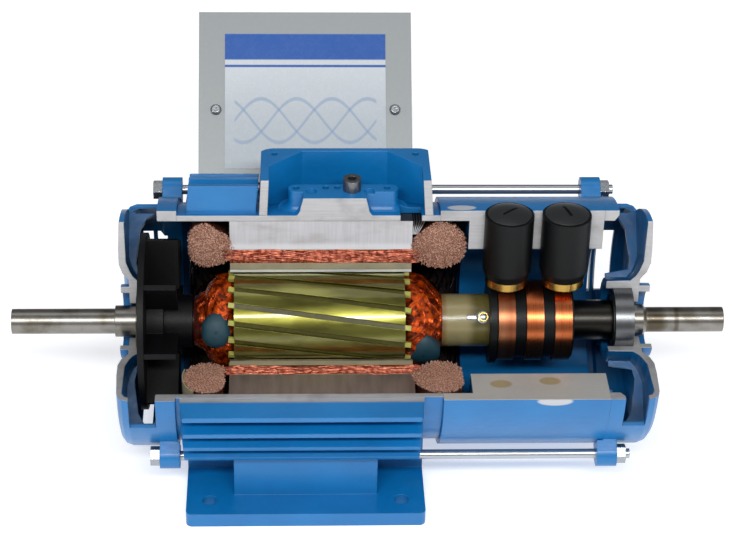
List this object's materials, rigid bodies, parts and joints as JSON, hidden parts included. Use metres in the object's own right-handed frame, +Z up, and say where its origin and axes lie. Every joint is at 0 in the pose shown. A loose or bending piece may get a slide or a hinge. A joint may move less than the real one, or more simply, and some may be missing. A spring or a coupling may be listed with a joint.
{
  "type": "cutaway synchronous motor-generator",
  "caption": "Small foot-mounted synchronous motor-generator sawn open at the front top, showing wound rotor, stator windings, slip rings and brush holders, with a label plate behind.",
  "frame": {"origin": "centre of the four foot holes, on the plane the feet stand on", "axes": "+X along the shaft towards the slip rings, +Y to the back where the label plate is, +Z up"},
  "size_m": [0.3382, 0.1895, 0.1759],
  "materials": {
    "housing_paint": "semi-gloss blue machinery paint over cast aluminium, bare where sawn",
    "black_steel": "black oxide",
    "lamination_steel": "sawn and filed laminations",
    "slot_paper": "yellowed slot paper",
    "copper_wire": "enamelled copper wire, cut ends bare",
    "bright_steel": "zinc plated",
    "black_moulding": "satin black moulding",
    "brass_collar": "turned",
    "brush_carbon": "graphite",
    "bearing_steel": "ground",
    "satin_aluminium": "satin sheet",
    "printed_sheet": "plain laminated sheet with a blue band",
    "shaft_steel": "turned and ground",
    "lacquered_steel": "olive lacquer over laminations",
    "yellow_insulation": "lacquered",
    "lacquered_copper": "varnished winding",
    "teal_putty": "set putty",
    "fan_moulding": "matt black moulding",
    "cream_resin": "glossy cast resin",
    "ring_copper": "polished by the brushes"
  },
  "bodies": {
    "housing": {"frame_casting": "housing_paint", "terminal_box": "housing_paint", "terminal_box_screw": "black_steel", "brush_chamber": "housing_paint", "fan_end_shield": "housing_paint", "ring_end_shield": "housing_paint", "stator_core": "lamination_steel", "slot_liners": "slot_paper", "stator_coils": "copper_wire", "end_winding_fan_side": "copper_wire", "end_winding_ring_side": "copper_wire", "insulation_sheet": "slot_paper", "tie_rods": "bright_steel", "tie_rod_nuts": "bright_steel", "brush_tube_a": "black_moulding", "brush_tube_b": "black_moulding", "brush_cap_a": "black_moulding", "brush_cap_b": "black_moulding", "brush_collar_a": "brass_collar", "brush_collar_b": "brass_collar", "carbon_brush_a": "brush_carbon", "carbon_brush_b": "brush_carbon", "outer_race_fan_side": "bearing_steel", "outer_race_ring_side": "bearing_steel", "label_plate": "satin_aluminium", "label_sheet": "printed_sheet", "plate_screws": "bright_steel", "plate_cross_bar": "satin_aluminium", "plate_strut_left": "satin_aluminium", "plate_strut_right": "satin_aluminium"},
    "rotor": {"shaft": "shaft_steel", "rotor_core": "lacquered_steel", "slot_wedges": "yellow_insulation", "rotor_winding_fan_side": "lacquered_copper", "rotor_winding_ring_side": "lacquered_copper", "balance_putty": "teal_putty", "fan": "fan_moulding", "resin_sleeve": "cream_resin", "lead_screw": "brass_collar", "ring_hub": "black_moulding", "slip_ring_a": "ring_copper", "slip_ring_b": "ring_copper", "slip_ring_c": "ring_copper", "inner_race_fan_side": "bearing_steel", "inner_race_ring_side": "bearing_steel"}
  },
  "joints": [
    {"name": "shaft_spin", "type": "hinge", "parent": "housing", "child": "rotor", "pos_m": [0.0323, 0, 0.071], "axis": [1, 0, 0], "continuous": true}
  ]
}
